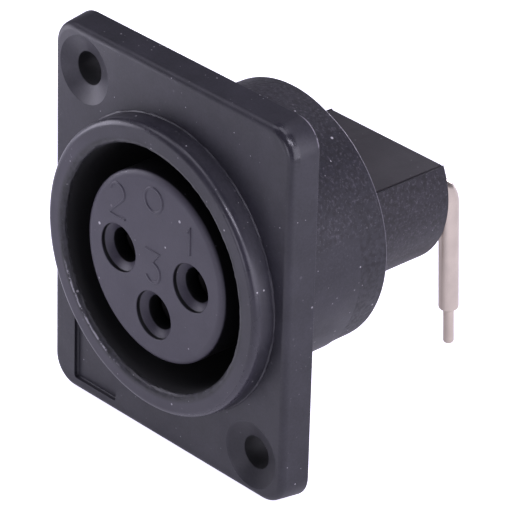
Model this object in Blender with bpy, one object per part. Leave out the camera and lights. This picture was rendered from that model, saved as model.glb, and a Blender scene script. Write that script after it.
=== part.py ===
"""Three-way panel socket: a square flange with a front collar and a thin round barrel moulded in one,
a round contact insert with a flat-topped rear block and its lid, and three turned contacts with bent
board tails.

Metres. The origin is the centre of the insert's front face, on the connector's axis. The plug comes
from -Y, the board lies below, and +Z is up.
"""

import math

import bmesh
import bpy
from mathutils import Vector

MM = 0.001

# Flange: a rounded rectangle whose front is drawn in by the mould's draft
FLANGE_WIDTH = 26.0 * MM
FLANGE_HEIGHT = 31.0 * MM
FLANGE_THICKNESS = 2.5 * MM
FLANGE_CORNER_RADIUS = 2.2 * MM
FLANGE_DRAFT = 0.25 * MM
FLANGE_FRONT_ROUND = 0.45 * MM
FLANGE_BACK_ROUND = 0.12 * MM
FACE_TO_FLANGE = 1.3 * MM

# Screw holes: two, on one diagonal, with a wide shallow countersink
SCREW_SIDE_MARGIN = 3.55 * MM
SCREW_END_MARGIN = 3.5 * MM
SCREW_HOLE_RADIUS = 1.3 * MM
SCREW_SINK_RADIUS = 2.6 * MM
SCREW_SINK_DEPTH = 0.55 * MM

# Plain sunk field in the flange's lower left corner
FIELD_SIDE_MARGIN = 2.6 * MM
FIELD_END_MARGIN = 1.17 * MM
FIELD_WIDTH = 4.8 * MM
FIELD_DEPTH = 0.35 * MM

# Collar in front of the flange, barrel behind it
COLLAR_WALL = 1.9 * MM
COLLAR_HEIGHT = 1.85 * MM
COLLAR_ROUND = 0.5 * MM
COLLAR_DRAFT = 0.06 * MM
BARREL_RADIUS = 10.15 * MM
BARREL_LENGTH = 10.05 * MM
BARREL_BAND = 2.75 * MM
BARREL_BAND_TAPER = 0.08 * MM
BARREL_END_ROUND = 0.15 * MM
BARREL_WALL = 0.55 * MM
BORE_LEAD_IN = 0.22 * MM
END_WALL = 1.3 * MM

# Insert: the core that the plug's sleeve passes over, and the block behind the barrel
FIT_GAP = 0.3 * MM
CORE_RADIUS = 7.5 * MM
CORE_EDGE_WIDTH = 0.6 * MM
CORE_EDGE_DEPTH = 0.35 * MM
BLOCK_RADIUS = 6.8 * MM
BLOCK_FLAT = 2.92 * MM
BLOCK_LENGTH = 9.5 * MM
BLOCK_BACK_CHAMFER = 0.15 * MM

# Contact holes on one circle: 1 at the right, 2 at the left, 3 at the bottom, seen from the front.
# Behind a short straight mouth a cone leads the plug's pin into the neck
CONTACT_CIRCLE = 3.97 * MM
MOUTH_RADIUS = 1.9 * MM
MOUTH_DEPTH = 0.3 * MM
CONE_DEPTH = 0.45 * MM
NECK_RADIUS = 1.35 * MM
NECK_LENGTH = 1.0 * MM
SLEEVE_RADIUS = 1.65 * MM
SLEEVE_BORE = 1.25 * MM
SLEEVE_FLOOR = 1.2 * MM
SLEEVE_LEAD_IN = 0.2 * MM
SLIT_WIDTH = 0.4 * MM
SLIT_LENGTH = 6.0 * MM

# Board tails: a rod with a stepped tip, bent down behind the block or just behind the barrel. The bend
# stops a little short of square, so the tails lean back
TAIL_RADIUS = 0.8 * MM
TIP_RADIUS = 0.43 * MM
TIP_CHAMFER = 0.12 * MM
SHOULDER_CHAMFER = 0.22 * MM
SHOULDER_DROP = 11.4 * MM
TIP_LENGTH = 3.05 * MM
TAIL_BEND = math.radians(86.5)
REAR_ROW_GAP = 2.2 * MM
REAR_BEND = 2.1 * MM
FRONT_ROW_GAP = 0.55 * MM
FRONT_BEND = 1.4 * MM

# Lid over the block, with a comb that stands behind the shoulders of contacts 1 and 2
LID_THICKNESS = 1.0 * MM
LID_WALL = 0.11 * MM
LID_GAP = 0.25 * MM
COMB_SETBACK = 2.0 * MM
COMB_THICKNESS = 1.6 * MM
COMB_DROP = 3.8 * MM
COMB_WINDOW = 1.1 * MM

ROUND_STEPS = 84
INSERT_STEPS = 40
SMALL_ROUND_STEPS = 28
HOLE_STEPS = 16
CORNER_STEPS = 6
ARC_STEPS = 4
BEND_STEPS = 8
OVERCUT = 0.5 * MM

FLANGE_FRONT = FACE_TO_FLANGE
FLANGE_BACK = FLANGE_FRONT + FLANGE_THICKNESS
SCREW_X = FLANGE_WIDTH / 2.0 - SCREW_SIDE_MARGIN
SCREW_Z = FLANGE_HEIGHT / 2.0 - SCREW_END_MARGIN
FIELD_LEFT = FLANGE_WIDTH / 2.0 - FIELD_SIDE_MARGIN
FIELD_BOTTOM = FLANGE_HEIGHT / 2.0 - FIELD_END_MARGIN
BORE_RADIUS = BARREL_RADIUS - BARREL_WALL
COLLAR_RADIUS = BORE_RADIUS + COLLAR_WALL
COLLAR_CROWN = FLANGE_FRONT - COLLAR_HEIGHT
BARREL_END = FLANGE_BACK + BARREL_LENGTH
BORE_FLOOR = BARREL_END - END_WALL
CORE_END = BORE_FLOOR - FIT_GAP
BLOCK_BACK = BARREL_END + BLOCK_LENGTH
CHAMBER_RADIUS = SLEEVE_RADIUS + FIT_GAP
NECK_START = MOUTH_DEPTH + CONE_DEPTH
CHAMBER_START = NECK_START + NECK_LENGTH
SLEEVE_START = CHAMBER_START + FIT_GAP
SLOT_HALF_WIDTH = TAIL_RADIUS + FIT_GAP
LID_FRONT = BARREL_END + FIT_GAP
LID_LEDGE = BLOCK_FLAT - LID_THICKNESS - FIT_GAP
COMB_FRONT = LID_FRONT + COMB_SETBACK
REAR_ROW = BLOCK_BACK + REAR_ROW_GAP + TAIL_RADIUS
FRONT_ROW = BARREL_END + FRONT_ROW_GAP + TAIL_RADIUS
FRONT_ROW_SHOULDER = FRONT_ROW - FRONT_BEND - FIT_GAP
SLEEVE_BORE_TIP = FRONT_ROW_SHOULDER - SLEEVE_FLOOR
SIDEWAYS = Vector((1.0, 0.0, 0.0))
REARWARD = Vector((0.0, 1.0, 0.0))
DOWNWARD = Vector((0.0, 0.0, -1.0))


def clear_scene():
    for old in list(bpy.data.objects):
        bpy.data.objects.remove(old, do_unlink=True)


def plain_material(name, colour, roughness, metallic=0.0):
    material = bpy.data.materials.new(name)
    material.use_nodes = True
    shader = material.node_tree.nodes["Principled BSDF"]
    shader.inputs["Base Color"].default_value = (*colour, 1.0)
    shader.inputs["Roughness"].default_value = roughness
    shader.inputs["Metallic"].default_value = metallic
    return material


def mesh_object(name, mesh, material=None):
    piece = bpy.data.objects.new(name, mesh)
    bpy.context.scene.collection.objects.link(piece)
    if material is not None:
        mesh.materials.append(material)
    return piece


def helper(piece):
    """A cutter or an added form, which only the Boolean modifiers use."""
    piece.hide_render = True
    piece.display_type = "WIRE"
    return piece


def combine(target, other, operation):
    modifier = target.modifiers.new(other.name, "BOOLEAN")
    modifier.operation = operation
    modifier.solver = "EXACT"
    modifier.object = other


def arc(centre_y, centre_r, radius, start, end, steps=ARC_STEPS):
    """Profile points (y, r) on an arc, with its angles in degrees from +Y towards +r."""
    points = []
    for step in range(steps + 1):
        angle = math.radians(start + (end - start) * step / steps)
        points.append((centre_y + radius * math.cos(angle), centre_r + radius * math.sin(angle)))
    return points


def ring_of(work, place, heading, radius, steps):
    """A round ring square to its heading, or one point where the radius is nothing."""
    if radius == 0.0:
        return [work.verts.new(place)]
    across = heading.cross(SIDEWAYS)
    ring = []
    for step in range(steps):
        angle = 2.0 * math.pi * step / steps
        spoke = SIDEWAYS * math.cos(angle) + across * math.sin(angle)
        ring.append(work.verts.new(place + spoke * radius))
    return ring


def turned(name, profile, centre=(0.0, 0.0), steps=SMALL_ROUND_STEPS):
    """A closed solid turned round an axis along Y at centre (x, z). The profile's (y, r) points run
    from the axis at one end to the axis at the other."""
    work = bmesh.new()
    rings = []
    for y, r in profile:
        rings.append(ring_of(work, Vector((centre[0], y, centre[1])), REARWARD, r, steps))
    join_rings(work, rings)
    return finish_mesh(name, work)


def join_rings(work, rings):
    """Quads between neighbouring rings, or a fan where one of them is a single point."""
    for near, far in zip(rings, rings[1:]):
        count = max(len(near), len(far))
        for step in range(count):
            after = (step + 1) % count
            if len(near) == 1:
                work.faces.new((near[0], far[step], far[after]))
            elif len(far) == 1:
                work.faces.new((near[step], near[after], far[0]))
            else:
                work.faces.new((near[step], near[after], far[after], far[step]))


def finish_mesh(name, work):
    bmesh.ops.recalc_face_normals(work, faces=work.faces)
    mesh = bpy.data.meshes.new(name)
    work.to_mesh(mesh)
    work.free()
    return mesh


def lofted(name, sections):
    """A closed solid through outlines of equal length, each (y, [(x, z), ...]), with flat ends."""
    work = bmesh.new()
    rings = []
    for y, outline in sections:
        rings.append([work.verts.new((x, y, z)) for x, z in outline])
    work.faces.new(rings[0])
    work.faces.new(reversed(rings[-1]))
    join_rings(work, rings)
    return finish_mesh(name, work)


def rounded_rectangle(half_width, half_height, radius):
    outline = []
    for quarter, (side_x, side_z) in enumerate(((1, 1), (-1, 1), (-1, -1), (1, -1))):
        for step in range(CORNER_STEPS + 1):
            angle = math.radians(90.0 * (quarter + step / CORNER_STEPS))
            x = side_x * (half_width - radius) + radius * math.cos(angle)
            z = side_z * (half_height - radius) + radius * math.sin(angle)
            outline.append((x, z))
    return outline


def d_section(radius, flat):
    """A circle about the axis, cut off level at the height flat."""
    start = math.asin(flat / radius)
    sweep = math.pi + 2.0 * start
    outline = []
    for step in range(INSERT_STEPS + 1):
        angle = start - sweep * step / INSERT_STEPS
        outline.append((radius * math.cos(angle), radius * math.sin(angle)))
    return outline


def disc_mesh(name, front, back, radius, centre):
    """A plain round bar along Y."""
    return turned(name, [(front, 0.0), (front, radius), (back, radius), (back, 0.0)], centre)


def box(name, low, high):
    work = bmesh.new()
    bmesh.ops.create_cube(work, size=1.0)
    centre = (Vector(low) + Vector(high)) / 2.0
    size = Vector(high) - Vector(low)
    bmesh.ops.scale(work, vec=size, verts=work.verts)
    bmesh.ops.translate(work, vec=centre, verts=work.verts)
    return finish_mesh(name, work)


def cutter(target, name, mesh, operation="DIFFERENCE"):
    combine(target, helper(mesh_object(name, mesh)), operation)


def flange_mesh():
    half_width = FLANGE_WIDTH / 2.0
    half_height = FLANGE_HEIGHT / 2.0
    back_y = FLANGE_BACK - FLANGE_BACK_ROUND
    front_y = FLANGE_FRONT + FLANGE_FRONT_ROUND
    front_inset = FLANGE_DRAFT + FLANGE_FRONT_ROUND
    edge = arc(back_y, FLANGE_BACK_ROUND, FLANGE_BACK_ROUND, 0.0, -90.0, 2)
    edge += arc(front_y, front_inset, FLANGE_FRONT_ROUND, -90.0, -180.0)
    sections = []
    for y, inset in edge:
        radius = FLANGE_CORNER_RADIUS - inset
        sections.append((y, rounded_rectangle(half_width - inset, half_height - inset, radius)))
    return lofted("flange", sections)


def shell_body_mesh():
    """Collar and barrel as one turned solid, before the bore is cut."""
    crown_radius = COLLAR_RADIUS - COLLAR_DRAFT
    profile = [(COLLAR_CROWN, 0.0)]
    centre_r = crown_radius - COLLAR_ROUND
    profile += reversed(arc(COLLAR_CROWN + COLLAR_ROUND, centre_r, COLLAR_ROUND, 90.0, 180.0))
    profile.append((FLANGE_FRONT, COLLAR_RADIUS))
    middle = (FLANGE_FRONT + FLANGE_BACK) / 2.0
    profile.append((middle, COLLAR_RADIUS))
    profile.append((middle, BARREL_RADIUS))
    profile.append((BARREL_END - BARREL_BAND, BARREL_RADIUS))
    end_radius = BARREL_RADIUS - BARREL_BAND_TAPER
    end_centre = BARREL_END - BARREL_END_ROUND
    profile += arc(end_centre, end_radius - BARREL_END_ROUND, BARREL_END_ROUND, 90.0, 0.0, 2)
    profile.append((BARREL_END, 0.0))
    return turned("collar_and_barrel", profile, steps=ROUND_STEPS)


def bore_mesh():
    profile = [(COLLAR_CROWN - OVERCUT, 0.0)]
    profile.append((COLLAR_CROWN - OVERCUT, BORE_RADIUS + BORE_LEAD_IN + OVERCUT))
    profile.append((COLLAR_CROWN + BORE_LEAD_IN, BORE_RADIUS))
    profile.append((BORE_FLOOR, BORE_RADIUS))
    profile.append((BORE_FLOOR, 0.0))
    return turned("bore", profile, steps=ROUND_STEPS)


def screw_hole_mesh(name, x, z):
    slope = (SCREW_SINK_RADIUS - SCREW_HOLE_RADIUS) / SCREW_SINK_DEPTH
    profile = [(FLANGE_FRONT - OVERCUT, 0.0)]
    profile.append((FLANGE_FRONT - OVERCUT, SCREW_SINK_RADIUS + OVERCUT * slope))
    profile.append((FLANGE_FRONT + SCREW_SINK_DEPTH, SCREW_HOLE_RADIUS))
    profile.append((FLANGE_BACK + OVERCUT, SCREW_HOLE_RADIUS))
    profile.append((FLANGE_BACK + OVERCUT, 0.0))
    return turned(name, profile, (x, z))


def make_front_shell(material):
    shell = mesh_object("front_shell", flange_mesh(), material)
    for label, side in (("upper_left", -1), ("lower_right", 1)):
        name = "screw_hole_" + label
        cutter(shell, name, screw_hole_mesh(name, side * SCREW_X, -side * SCREW_Z))
    field_low = (-FIELD_LEFT, FLANGE_FRONT - OVERCUT, -FIELD_BOTTOM)
    field_high = (FIELD_WIDTH - FIELD_LEFT, FLANGE_FRONT + FIELD_DEPTH, 0.0)
    cutter(shell, "sunk_field", box("sunk_field", field_low, field_high))
    cutter(shell, "collar_and_barrel", shell_body_mesh(), "UNION")
    cutter(shell, "bore", bore_mesh())
    hole = d_section(BLOCK_RADIUS + FIT_GAP, BLOCK_FLAT + FIT_GAP)
    opening = lofted("insert_opening", [(BORE_FLOOR - OVERCUT, hole), (BARREL_END + OVERCUT, hole)])
    cutter(shell, "insert_opening", opening)
    return shell


def contact_places():
    """(number, x, z) of the three contacts."""
    return (
        (1, CONTACT_CIRCLE, 0.0),
        (2, -CONTACT_CIRCLE, 0.0),
        (3, 0.0, -CONTACT_CIRCLE),
    )


def core_mesh():
    """The core, whose face falls away to the side in a flattened round."""
    profile = [(0.0, 0.0)]
    for step in range(ARC_STEPS + 1):
        angle = math.pi / 2.0 * step / ARC_STEPS
        depth = CORE_EDGE_DEPTH * (1.0 - math.cos(angle))
        profile.append((depth, CORE_RADIUS - CORE_EDGE_WIDTH * (1.0 - math.sin(angle))))
    profile.append((CORE_END, CORE_RADIUS))
    profile.append((CORE_END, 0.0))
    return turned("core", profile, steps=INSERT_STEPS)


def block_mesh():
    outline = d_section(BLOCK_RADIUS, BLOCK_FLAT)
    small = d_section(BLOCK_RADIUS - BLOCK_BACK_CHAMFER, BLOCK_FLAT - BLOCK_BACK_CHAMFER)
    back = BLOCK_BACK
    return lofted(
        "rear_block",
        [(CORE_END - OVERCUT, outline), (back - BLOCK_BACK_CHAMFER, outline), (back, small)],
    )


def contact_hole_mesh(number, x, z):
    profile = [
        (-OVERCUT, 0.0),
        (-OVERCUT, MOUTH_RADIUS),
        (MOUTH_DEPTH, MOUTH_RADIUS),
        (NECK_START, NECK_RADIUS),
        (CHAMBER_START, NECK_RADIUS),
        (CHAMBER_START, CHAMBER_RADIUS),
        (BLOCK_BACK + OVERCUT, CHAMBER_RADIUS),
        (BLOCK_BACK + OVERCUT, 0.0),
    ]
    return turned("contact_hole_%d" % number, profile, (x, z), HOLE_STEPS)


def lid_half_width():
    """Half the width of the recess that takes the lid, just inside the edge of the flat."""
    return math.sqrt(BLOCK_RADIUS**2 - BLOCK_FLAT**2) - LID_WALL


def make_contact_insert(material):
    insert = mesh_object("contact_insert", core_mesh(), material)
    cutter(insert, "rear_block", block_mesh(), "UNION")
    half_width = lid_half_width()
    recess = box(
        "lid_recess",
        (-half_width, BARREL_END, LID_LEDGE),
        (half_width, BLOCK_BACK + OVERCUT, BLOCK_FLAT + OVERCUT),
    )
    cutter(insert, "lid_recess", recess)
    well = box(
        "comb_well",
        (-half_width, COMB_FRONT - FIT_GAP, BLOCK_FLAT - COMB_DROP - FIT_GAP),
        (half_width, COMB_FRONT + COMB_THICKNESS + FIT_GAP, LID_LEDGE + OVERCUT),
    )
    cutter(insert, "comb_well", well)
    for number, x, z in contact_places():
        cutter(insert, "contact_hole_%d" % number, contact_hole_mesh(number, x, z))
    slot = box(
        "tail_slot",
        (-SLOT_HALF_WIDTH, FRONT_ROW - SLOT_HALF_WIDTH, -BLOCK_RADIUS - OVERCUT),
        (SLOT_HALF_WIDTH, BLOCK_BACK + OVERCUT, -CONTACT_CIRCLE),
    )
    cutter(insert, "tail_slot", slot)
    return insert


def make_rear_lid(material):
    half_width = lid_half_width() - LID_GAP
    top = BLOCK_FLAT
    plate = box(
        "rear_lid",
        (-half_width, LID_FRONT, top - LID_THICKNESS),
        (half_width, BLOCK_BACK - BLOCK_BACK_CHAMFER, top),
    )
    lid = mesh_object("rear_lid", plate, material)
    comb = box(
        "comb",
        (-half_width + FIT_GAP, COMB_FRONT, top - COMB_DROP),
        (half_width - FIT_GAP, COMB_FRONT + COMB_THICKNESS, top - LID_THICKNESS / 2.0),
    )
    cutter(lid, "comb", comb, "UNION")
    for number, x, z in contact_places()[:2]:
        window = box(
            "comb_window_%d" % number,
            (x - COMB_WINDOW, COMB_FRONT - OVERCUT, top - COMB_DROP - OVERCUT),
            (x + COMB_WINDOW, COMB_FRONT + COMB_THICKNESS + OVERCUT, z),
        )
        cutter(lid, "comb_window_%d" % number, window)
        name = "comb_arch_%d" % number
        back = COMB_FRONT + COMB_THICKNESS + OVERCUT
        cutter(lid, name, disc_mesh(name, COMB_FRONT - OVERCUT, back, COMB_WINDOW, (x, z)))
    return lid


def contact_mesh(number, x, z, row, bend, shoulder):
    """A turned contact lofted as one skin: in along the sleeve's bore from its floor, round the lip,
    back along the outside to the shoulder, and on round the bent rod to the tip."""
    axis = Vector((x, 0.0, z))
    stations = []

    def straight(y, radius):
        stations.append((axis + REARWARD * y, REARWARD, radius))

    straight(SLEEVE_BORE_TIP, 0.0)
    straight(SLEEVE_BORE_TIP - SLEEVE_BORE / 2.0, SLEEVE_BORE)
    straight(SLEEVE_START + SLEEVE_LEAD_IN, SLEEVE_BORE)
    straight(SLEEVE_START, SLEEVE_BORE + SLEEVE_LEAD_IN)
    straight(SLEEVE_START, SLEEVE_RADIUS - SLEEVE_LEAD_IN / 2.0)
    straight(SLEEVE_START + SLEEVE_LEAD_IN / 2.0, SLEEVE_RADIUS)
    straight(shoulder - SHOULDER_CHAMFER, SLEEVE_RADIUS)
    straight(shoulder, SLEEVE_RADIUS - SHOULDER_CHAMFER)
    straight(shoulder, TAIL_RADIUS)
    corner = axis + REARWARD * (row - bend)
    for step in range(BEND_STEPS + 1):
        angle = TAIL_BEND * step / BEND_STEPS
        heading = REARWARD * math.cos(angle) + DOWNWARD * math.sin(angle)
        turn = REARWARD * math.sin(angle) + DOWNWARD * (1.0 - math.cos(angle))
        stations.append((corner + turn * bend, heading, TAIL_RADIUS))
    bend_end = stations[-1][0]
    tip_end = SHOULDER_DROP + TIP_LENGTH
    for drop, radius in (
        (SHOULDER_DROP - SHOULDER_CHAMFER, TAIL_RADIUS),
        (SHOULDER_DROP, TAIL_RADIUS - SHOULDER_CHAMFER),
        (SHOULDER_DROP + SHOULDER_CHAMFER / 2.0, TIP_RADIUS),
        (tip_end - TIP_CHAMFER, TIP_RADIUS),
        (tip_end, TIP_RADIUS - TIP_CHAMFER),
        (tip_end, 0.0),
    ):
        along = (bend_end.z + drop) / -heading.z
        stations.append((bend_end + heading * along, heading, radius))
    work = bmesh.new()
    rings = [ring_of(work, *station, SMALL_ROUND_STEPS) for station in stations]
    join_rings(work, rings)
    return finish_mesh("contact_%d" % number, work)


def make_contact(number, x, z, row, bend, shoulder, material):
    mesh = contact_mesh(number, x, z, row, bend, shoulder)
    contact = mesh_object("contact_%d" % number, mesh, material)
    slit_end = SLEEVE_START + SLIT_LENGTH
    across = SLEEVE_RADIUS + OVERCUT
    slit = box(
        "slit_%d" % number,
        (x - across, SLEEVE_START - OVERCUT, z - SLIT_WIDTH / 2.0),
        (x + across, slit_end, z + SLIT_WIDTH / 2.0),
    )
    cutter(contact, "slit_%d" % number, slit)
    return contact


def shade(piece):
    piece.data.shade_smooth()
    piece.data.set_sharp_from_angle(angle=math.radians(30.0))


def main():
    clear_scene()
    shell_plastic = plain_material("shell_plastic", (0.030, 0.028, 0.035), 0.42)
    insert_plastic = plain_material("insert_plastic", (0.035, 0.033, 0.042), 0.40)
    lid_plastic = plain_material("lid_plastic", (0.030, 0.027, 0.031), 0.45)
    contact_metal = plain_material("contact_metal", (0.66, 0.60, 0.60), 0.30, 1.0)
    pieces = [make_front_shell(shell_plastic)]
    pieces.append(make_contact_insert(insert_plastic))
    pieces.append(make_rear_lid(lid_plastic))
    for number, x, z in contact_places():
        front = number == 3
        row = FRONT_ROW if front else REAR_ROW
        bend = FRONT_BEND if front else REAR_BEND
        shoulder = FRONT_ROW_SHOULDER if front else COMB_FRONT - FIT_GAP
        pieces.append(make_contact(number, x, z, row, bend, shoulder, contact_metal))
    for piece in pieces:
        shade(piece)


main()
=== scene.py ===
import math
from collections import namedtuple

import bmesh
import bpy
from mathutils import Matrix, Vector


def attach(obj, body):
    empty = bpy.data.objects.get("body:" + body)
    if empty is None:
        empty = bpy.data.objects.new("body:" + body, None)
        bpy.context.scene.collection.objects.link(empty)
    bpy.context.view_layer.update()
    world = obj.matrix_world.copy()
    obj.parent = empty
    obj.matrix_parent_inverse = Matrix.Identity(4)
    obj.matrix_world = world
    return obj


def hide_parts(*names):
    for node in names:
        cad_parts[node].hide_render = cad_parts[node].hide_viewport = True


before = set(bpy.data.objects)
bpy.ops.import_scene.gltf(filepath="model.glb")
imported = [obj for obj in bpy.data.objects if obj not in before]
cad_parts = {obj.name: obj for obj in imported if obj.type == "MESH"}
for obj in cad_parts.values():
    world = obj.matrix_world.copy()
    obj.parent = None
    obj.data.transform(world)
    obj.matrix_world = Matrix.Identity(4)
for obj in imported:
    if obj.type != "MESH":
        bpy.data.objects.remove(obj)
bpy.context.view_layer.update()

MM = 0.001

# Sizes in millimetres. Y runs along the socket's axis, from the plug's side to the back, and the
# core's front face is at Y = 0. Most sizes are the solids'. The barrel, its band and the rear
# block are up to 0.2 mm larger, some rounds are wider, the barrel swells to one side and contact
# 2's tail is upright.
FLANGE_HALF_WIDTH = 13.0
FLANGE_HALF_HEIGHT = 15.5
FLANGE_FRONT = 1.3
FLANGE_BACK = 3.8
FLANGE_CORNER = 2.2
FLANGE_TAPER = 0.25
FLANGE_FRONT_ROUND = 0.5
FLANGE_BACK_ROUND = 0.12
FIELD_LEFT = -10.4
FIELD_RIGHT = -5.6
FIELD_BOTTOM = -14.33
FIELD_DEPTH = 0.35
SCREW_PLACES = ((-9.45, 12.0), (9.45, -12.0))
SINK_RADIUS = 2.6
SCREW_RADIUS = 1.3
COLLAR_CROWN = -0.55
COLLAR_RADIUS = 11.6
CROWN_EDGE = 10.94
CROWN_ROUND = 0.5
BARREL_START = 2.5
BARREL_END = 13.85
BARREL_RADIUS = 10.22
BAND_START = 11.1
BAND_RADIUS = 10.13
RIM_ROUND = 0.15
SWELL_AXIS = (-0.44, 0.76)
SWELL_INSIDE = 0.52
BORE_RADIUS = 9.6
BORE_FLOOR = 12.55
MOUTH_ROUND = 0.45
CORE_RADIUS = 7.5
CORE_END = 12.25
CORE_ROUND_DEPTH = 0.35
CORE_ROUND_WIDTH = 0.6
BLOCK_RADIUS = 6.89
BLOCK_FLAT = 3.09
BLOCK_BACK = 23.43
BLOCK_TOP_HALF = math.sqrt(BLOCK_RADIUS**2 - BLOCK_FLAT**2)
RECESS_EDGE = 0.11
LID_EDGE = 0.27
LID_THICKNESS = 1.0
LID_CUTS = 47
LID_CUT_STEP = 0.19
COMB_FRONT = 16.15
COMB_THICKNESS = 1.6
COMB_DROP = 3.8
WINDOW_HALF = 1.1
TAIL_SLOT_FRONT = 14.1
TAIL_SLOT_LOW = -7.3
TAIL_SLOT_HIGH = -3.7
FIT_GAP = 0.3
MOUTH_DEPTH = 0.3
NECK_START = 0.75
NECK_RADIUS = 1.35
CHAMBER_START = 1.75
CHAMBER_RADIUS = 1.95
SLEEVE_START = 2.05
SLEEVE_RADIUS = 1.65
SLIT_HALF = 0.2
SLIT_LENGTH = 6.0
PIN_HOLE_RADIUS = 1.25
PIN_HOLE_SIDE_END = 11.675
PIN_HOLE_TIP = 12.3
ROD_RADIUS = 0.8
STROKE_RADIUS = 0.15
STROKE_DEPTH = 0.08

# Each contact's number, its place on the 7.94 mm circle, where its tail comes down, the radius of
# its bend, where its sleeve ends, and how many degrees its tail is bent down
CONTACT_CIRCLE = 3.97
REAR_ROW = 26.35
FRONT_ROW = 15.2
LEANING = 86.5
UPRIGHT = 90.0
Contact = namedtuple("Contact", "number x z row bend shoulder turned")
CONTACTS = (
    Contact(1, CONTACT_CIRCLE, 0.0, REAR_ROW, 2.1, COMB_FRONT - FIT_GAP, LEANING),
    Contact(2, -CONTACT_CIRCLE, 0.0, REAR_ROW, 2.1, COMB_FRONT - FIT_GAP, UPRIGHT),
    Contact(3, 0.0, -CONTACT_CIRCLE, FRONT_ROW, 1.4, 13.5, LEANING),
)

# Height and radius of each ring down a tail, from below the bend to the stepped tip
TAIL_STEPS = (
    (-11.18, 0.8),
    (-11.28, 0.76),
    (-11.4, 0.62),
    (-11.42, 0.5),
    (-11.5, 0.43),
    (-14.3, 0.43),
    (-14.4, 0.38),
    (-14.44, 0.3),
)

# How many sides each kind of round has
LARGE_ROUND = 180
SCREW_ROUND = 72
HOLE_ROUND = 54
CONTACT_ROUND = 40
ARCH_ROUND = 40


# Modelling by hand: every helper starts with nothing selected

def only(piece):
    if bpy.context.object and bpy.context.object.mode != "OBJECT":
        bpy.ops.object.mode_set(mode="OBJECT")
    bpy.ops.object.select_all(action="DESELECT")
    piece.select_set(True)
    bpy.context.view_layer.objects.active = piece


def edit(piece):
    only(piece)
    bpy.ops.object.mode_set(mode="EDIT")
    bpy.ops.mesh.select_all(action="DESELECT")


def pick(kind, test):
    """In edit mode, select the faces, edges or verts that pass the test, and nothing else."""
    bpy.ops.mesh.select_mode(type={"faces": "FACE", "edges": "EDGE", "verts": "VERT"}[kind])
    bpy.ops.mesh.select_all(action="DESELECT")
    mesh = bpy.context.object.data
    work = bmesh.from_edit_mesh(mesh)
    for item in getattr(work, kind):
        if test(item):
            item.select_set(True)
    work.select_flush_mode()
    bmesh.update_edit_mesh(mesh)


def facing(direction):
    """A test for the faces that look that way."""
    return lambda face: face.normal.dot(Vector(direction)) > 0.99


def runs_along_axis(edge):
    return abs((edge.verts[0].co - edge.verts[1].co).normalized().y) > 0.99


def off_axis_mm(vertex):
    return math.hypot(vertex.co.x, vertex.co.z) / MM


def bevel(radius, steps):
    bpy.ops.mesh.bevel(offset=radius * MM, segments=steps, affect="EDGES", clamp_overlap=False)


def round_rim(direction, radius, steps):
    """Round the outline of the flat face that looks that way."""
    pick("faces", facing(direction))
    bpy.ops.mesh.region_to_loop()
    bevel(radius, steps)


def shake(amount, seed):
    """Shift the selected vertices a little each way."""
    bpy.ops.transform.vertex_random(offset=amount * MM, uniform=1.0, normal=0.0, seed=seed)


def roughen(piece, test, amount, seed):
    """Shake the vertices that pass the test, as on a ragged moulding line."""
    edit(piece)
    pick("verts", test)
    shake(amount, seed)
    bpy.ops.object.mode_set(mode="OBJECT")


def place_applied(name):
    piece = bpy.context.object
    piece.name = name
    piece.data.name = name
    only(piece)
    bpy.ops.object.transform_apply(location=True, rotation=True, scale=True)
    return piece


def block(name, low, high):
    """A cube added at its size and place."""
    middle = [(a + b) / 2.0 * MM for a, b in zip(low, high)]
    size = [(b - a) * MM for a, b in zip(low, high)]
    bpy.ops.mesh.primitive_cube_add(size=1.0, location=middle, scale=size)
    return place_applied(name)


def lathe(name, rings, steps=LARGE_ROUND, centre=(0.0, 0.0)):
    """A round along Y, drawn out ring by ring from a disc. rings are (y, radius)."""
    x, z = centre
    was_y, was_r = rings[0]
    bpy.ops.mesh.primitive_circle_add(
        vertices=steps,
        radius=was_r * MM,
        fill_type="NGON",
        location=(x * MM, was_y * MM, z * MM),
        rotation=(math.pi / 2.0, 0.0, 0.0),
    )
    piece = place_applied(name)
    bpy.ops.object.mode_set(mode="EDIT")
    bpy.ops.mesh.select_mode(type="FACE")
    bpy.ops.mesh.select_all(action="SELECT")
    for y, r in rings[1:]:
        bpy.ops.mesh.extrude_region_move(
            TRANSFORM_OT_translate={"value": (0.0, (y - was_y) * MM, 0.0)}
        )
        grow = r / was_r
        bpy.ops.transform.resize(
            value=(grow, 1.0, grow), center_override=(x * MM, y * MM, z * MM)
        )
        was_y, was_r = y, r
    bpy.ops.mesh.select_all(action="SELECT")
    bpy.ops.mesh.normals_make_consistent(inside=False)
    bpy.ops.object.mode_set(mode="OBJECT")
    return piece


def sweep(from_degrees, to_degrees, steps):
    """Angles in even steps, in radians."""
    return [
        math.radians(from_degrees + (to_degrees - from_degrees) * step / steps)
        for step in range(steps + 1)
    ]


def corner(y, r, from_degrees, to_degrees, radius, steps):
    """Rings round a corner with its middle at (y, r). 0 degrees is outward, 90 is to the back."""
    return [
        (y + radius * math.sin(angle), r + radius * math.cos(angle))
        for angle in sweep(from_degrees, to_degrees, steps)
    ]


def flatten_top(piece, height):
    """Cut the piece flat at that height and close the cut."""
    edit(piece)
    bpy.ops.mesh.select_all(action="SELECT")
    bpy.ops.mesh.bisect(
        plane_co=(0.0, 0.0, height * MM), plane_no=(0.0, 0.0, 1.0), clear_outer=True, use_fill=True
    )
    bpy.ops.object.mode_set(mode="OBJECT")


def combine(piece, tool, operation="DIFFERENCE"):
    only(piece)
    modifier = piece.modifiers.new(tool.name, "BOOLEAN")
    modifier.operation = operation
    modifier.solver = "EXACT"
    modifier.object = tool
    bpy.ops.object.modifier_apply(modifier=modifier.name)
    bpy.data.objects.remove(tool, do_unlink=True)


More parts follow.
